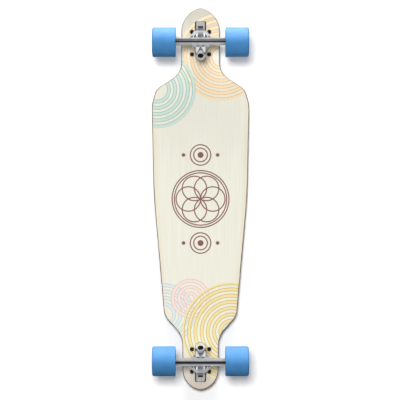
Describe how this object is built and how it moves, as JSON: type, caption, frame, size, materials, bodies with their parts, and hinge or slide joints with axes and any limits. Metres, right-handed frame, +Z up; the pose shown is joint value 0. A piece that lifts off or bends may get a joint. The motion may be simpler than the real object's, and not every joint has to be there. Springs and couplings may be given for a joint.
{
  "type": "longboard skateboard",
  "caption": "Drop-through longboard with a cut-away deck, grip tape, leaning cast trucks on rubbery bushings and wide soft wheels on ball bearings.",
  "frame": {"origin": "on the ground under the middle of the deck, the board standing on its wheels", "axes": "+Z up, +Y along the board to its nose, +X to the right along the axles"},
  "size_m": [0.2336, 0.9144, 0.1086],
  "materials": {
    "deck_wood": "printed maple underside, clear coat",
    "grip": "black grit",
    "cast_aluminium": "satin cast",
    "steel": "zinc plated",
    "axle_steel": "dark drawn bar",
    "black_steel": "black oxide",
    "wheel_urethane": "satin urethane",
    "core_plastic": "gloss",
    "bushing_urethane": "satin urethane",
    "black_urethane": "matte",
    "shield": "pressed sheet"
  },
  "bodies": {
    "board": {"deck": "deck_wood", "grip_tape": "grip", "front_baseplate": "cast_aluminium", "front_pivot_cup": "black_urethane", "front_kingpin": "steel", "front_kingpin_nut": "steel", "front_boardside_bushing": "bushing_urethane", "front_roadside_bushing": "bushing_urethane", "front_bushing_washers": "steel", "front_mounting_bolts": "black_steel", "front_mounting_nuts": "black_steel", "rear_baseplate": "cast_aluminium", "rear_pivot_cup": "black_urethane", "rear_kingpin": "steel", "rear_kingpin_nut": "steel", "rear_boardside_bushing": "bushing_urethane", "rear_roadside_bushing": "bushing_urethane", "rear_bushing_washers": "steel", "rear_mounting_bolts": "black_steel", "rear_mounting_nuts": "black_steel"},
    "front_truck_hanger": {"front_hanger": "cast_aluminium", "front_axle": "axle_steel", "front_axle_nuts": "steel", "front_speed_washers": "steel", "front_bearing_inner_races": "steel", "front_bearing_spacers": "steel"},
    "front_left_wheel": {"front_left_tyre": "wheel_urethane", "front_left_core": "core_plastic", "front_left_bearing_outer_races": "steel", "front_left_bearing_shields": "shield"},
    "front_right_wheel": {"front_right_tyre": "wheel_urethane", "front_right_core": "core_plastic", "front_right_bearing_outer_races": "steel", "front_right_bearing_shields": "shield"},
    "rear_truck_hanger": {"rear_hanger": "cast_aluminium", "rear_axle": "axle_steel", "rear_axle_nuts": "steel", "rear_speed_washers": "steel", "rear_bearing_inner_races": "steel", "rear_bearing_spacers": "steel"},
    "rear_left_wheel": {"rear_left_tyre": "wheel_urethane", "rear_left_core": "core_plastic", "rear_left_bearing_outer_races": "steel", "rear_left_bearing_shields": "shield"},
    "rear_right_wheel": {"rear_right_tyre": "wheel_urethane", "rear_right_core": "core_plastic", "rear_right_bearing_outer_races": "steel", "rear_right_bearing_shields": "shield"}
  },
  "joints": [
    {"name": "front_steer", "type": "hinge", "parent": "board", "child": "front_truck_hanger", "pos_m": [0, 0.37774, 0.06236], "axis": [0, 0.7431, 0.6691], "range_deg": [-20, 20], "stiffness_Nm_per_rad": 60, "deforming": ["front_boardside_bushing", "front_roadside_bushing"]},
    {"name": "front_left_wheel_spin", "type": "hinge", "parent": "front_truck_hanger", "child": "front_left_wheel", "pos_m": [-0.0862, 0.3688, 0.035], "axis": [1, 0, 0], "continuous": true},
    {"name": "front_right_wheel_spin", "type": "hinge", "parent": "front_truck_hanger", "child": "front_right_wheel", "pos_m": [0.0862, 0.3688, 0.035], "axis": [1, 0, 0], "continuous": true},
    {"name": "rear_steer", "type": "hinge", "parent": "board", "child": "rear_truck_hanger", "pos_m": [0, -0.39064, 0.06236], "axis": [0, -0.7431, 0.6691], "range_deg": [-20, 20], "stiffness_Nm_per_rad": 60, "deforming": ["rear_boardside_bushing", "rear_roadside_bushing"]},
    {"name": "rear_left_wheel_spin", "type": "hinge", "parent": "rear_truck_hanger", "child": "rear_left_wheel", "pos_m": [-0.0862, -0.3817, 0.035], "axis": [1, 0, 0], "continuous": true},
    {"name": "rear_right_wheel_spin", "type": "hinge", "parent": "rear_truck_hanger", "child": "rear_right_wheel", "pos_m": [0.0862, -0.3817, 0.035], "axis": [1, 0, 0], "continuous": true}
  ]
}
